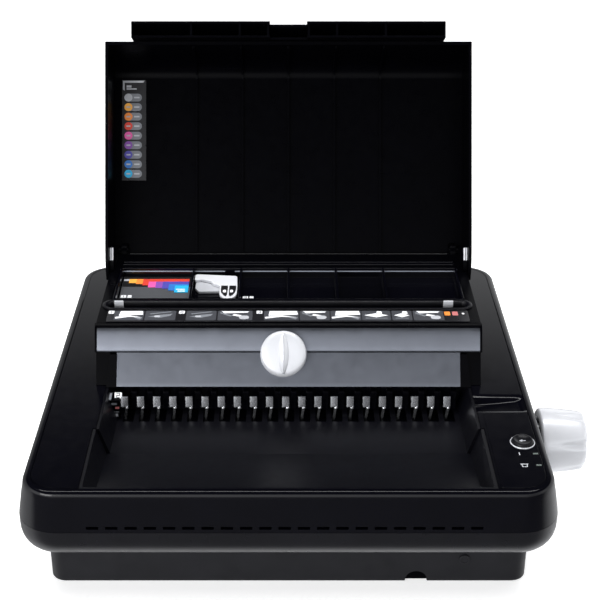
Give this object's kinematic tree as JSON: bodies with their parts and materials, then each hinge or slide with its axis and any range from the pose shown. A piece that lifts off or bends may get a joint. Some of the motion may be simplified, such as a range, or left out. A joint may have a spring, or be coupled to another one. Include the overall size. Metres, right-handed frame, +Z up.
{
  "type": "comb binding machine",
  "caption": "Electric comb binding machine with an open hinged lid, a row of hooks over a binding recess, a paper slot, storage cells, a margin knob and a side hand wheel.",
  "frame": {"origin": "on the table top, at the underside of the centre foot, under the middle of the casing", "axes": "+X right along the binding edge, +Y rear, +Z up"},
  "size_m": [0.4748, 0.4326, 0.3814],
  "materials": {
    "black_satin": "satin moulded",
    "black_matt": "matt moulded",
    "black_gloss": "glossy moulded",
    "dark_grey": "fine texture",
    "pan_grey": "matt texture",
    "graphite": "satin metallic paint",
    "silver": "satin silver paint",
    "hook_steel": "bright nickel plate",
    "steel": "plain machined",
    "rubber": "matt",
    "pale_grey": "fine texture",
    "board": "solder mask",
    "lamp": "clear cap",
    "print": "printed film",
    "chart": "printed film"
  },
  "bodies": {
    "base": {"upper_casing": "black_satin", "lower_casing": "dark_grey", "base_pan": "pan_grey", "rear_cover": "dark_grey", "control_panel": "black_satin", "binding_table": "black_gloss", "comb_fingers": "black_satin", "punch_housing": "black_matt", "hood_panel": "graphite", "hood_lip": "graphite", "throat_rim": "black_gloss", "slot_pad_left": "silver", "slot_pad_right": "silver", "instruction_strip": "print", "storage_tray": "black_satin", "size_chart": "chart", "edge_guide_tool": "pale_grey", "knob_collar": "black_satin", "die_block": "steel", "guide_plate": "steel", "frame_plate_left": "steel", "frame_plate_right": "steel", "motor": "steel", "hinge_pin_left": "black_matt", "hinge_pin_right": "black_matt", "control_board": "board", "light_guide": "lamp", "circuit_board": "board", "power_supply": "steel", "power_inlet": "black_satin", "base_screw_1": "steel", "base_screw_2": "steel", "base_screw_3": "steel", "base_screw_4": "steel", "foot_1": "rubber", "foot_2": "rubber", "foot_3": "rubber", "foot_4": "rubber", "foot_centre": "rubber"},
    "lid": {"lid_shell": "black_matt", "lid_lip": "black_matt", "lid_label": "print", "hinge_leaf_left": "black_matt", "hinge_leaf_right": "black_matt"},
    "hook_carriage": {"hook_plate": "hook_steel", "rack_left": "steel", "rack_right": "steel"},
    "opener": {"opener_knob": "silver", "opener_shaft": "steel", "pinion_left": "steel", "pinion_right": "steel"},
    "punch_key": {"punch_button": "black_gloss"},
    "margin_knob": {"depth_knob": "silver"},
    "margin_stop": {"depth_stop": "steel"},
    "cam_drive": {"cam_gear": "pale_grey", "cam_shaft": "steel"},
    "motor_gear": {"motor_pinion": "steel"},
    "punch_slide": {"punch_bar": "steel"},
    "tray": {"chip_tray": "pan_grey"},
    "mains_switch": {"rocker_switch": "black_gloss"}
  },
  "joints": [
    {"name": "lid_hinge", "type": "hinge", "parent": "base", "child": "lid", "pos_m": [0, 0.134, 0.16], "axis": [1, 0, 0], "range_deg": [0, 117]},
    {"name": "opener_turn", "type": "hinge", "parent": "base", "child": "opener", "pos_m": [0.2, -0.0755, 0.074], "axis": [-1, 0, 0], "range_deg": [0, 76.39]},
    {"name": "hook_travel", "type": "slide", "parent": "base", "child": "hook_carriage", "axis": [0, 1, 0], "range_m": [0, 0.016]},
    {"name": "punch_press", "type": "slide", "parent": "base", "child": "punch_key", "axis": [0, 0, -1], "range_m": [0, 0.002], "stiffness_N_per_m": 400},
    {"name": "margin_turn", "type": "hinge", "parent": "base", "child": "margin_knob", "pos_m": [-0.0045, -0.03224, 0.137], "axis": [0, -0.891, 0.454], "range_deg": [-45, 45]},
    {"name": "margin_lift", "type": "slide", "parent": "base", "child": "margin_stop", "axis": [0, 0, 1], "range_m": [-0.0015, 0.0015]},
    {"name": "cam_turn", "type": "hinge", "parent": "base", "child": "cam_drive", "pos_m": [0, 0.0725, 0.102], "axis": [1, 0, 0], "continuous": true},
    {"name": "motor_turn", "type": "hinge", "parent": "base", "child": "motor_gear", "pos_m": [0.15, 0.11, 0.102], "axis": [1, 0, 0], "continuous": true},
    {"name": "punch_stroke", "type": "slide", "parent": "base", "child": "punch_slide", "axis": [0, -1, 0], "range_m": [0, 0.014]},
    {"name": "tray_pull", "type": "slide", "parent": "base", "child": "tray", "axis": [-1, 0, 0], "range_m": [0, 0.26]},
    {"name": "rocker_tilt", "type": "hinge", "parent": "base", "child": "mains_switch", "pos_m": [-0.102, 0.2, 0.127], "axis": [1, 0, 0], "range_deg": [0, 14]}
  ],
  "couplings": [
    {"joint": "hook_travel", "follows": "opener_turn", "m_per_rad": 0.012},
    {"joint": "margin_turn", "follows": "margin_lift", "rad_per_m": 523.5},
    {"joint": "motor_turn", "follows": "cam_turn", "ratio": -4}
  ]
}
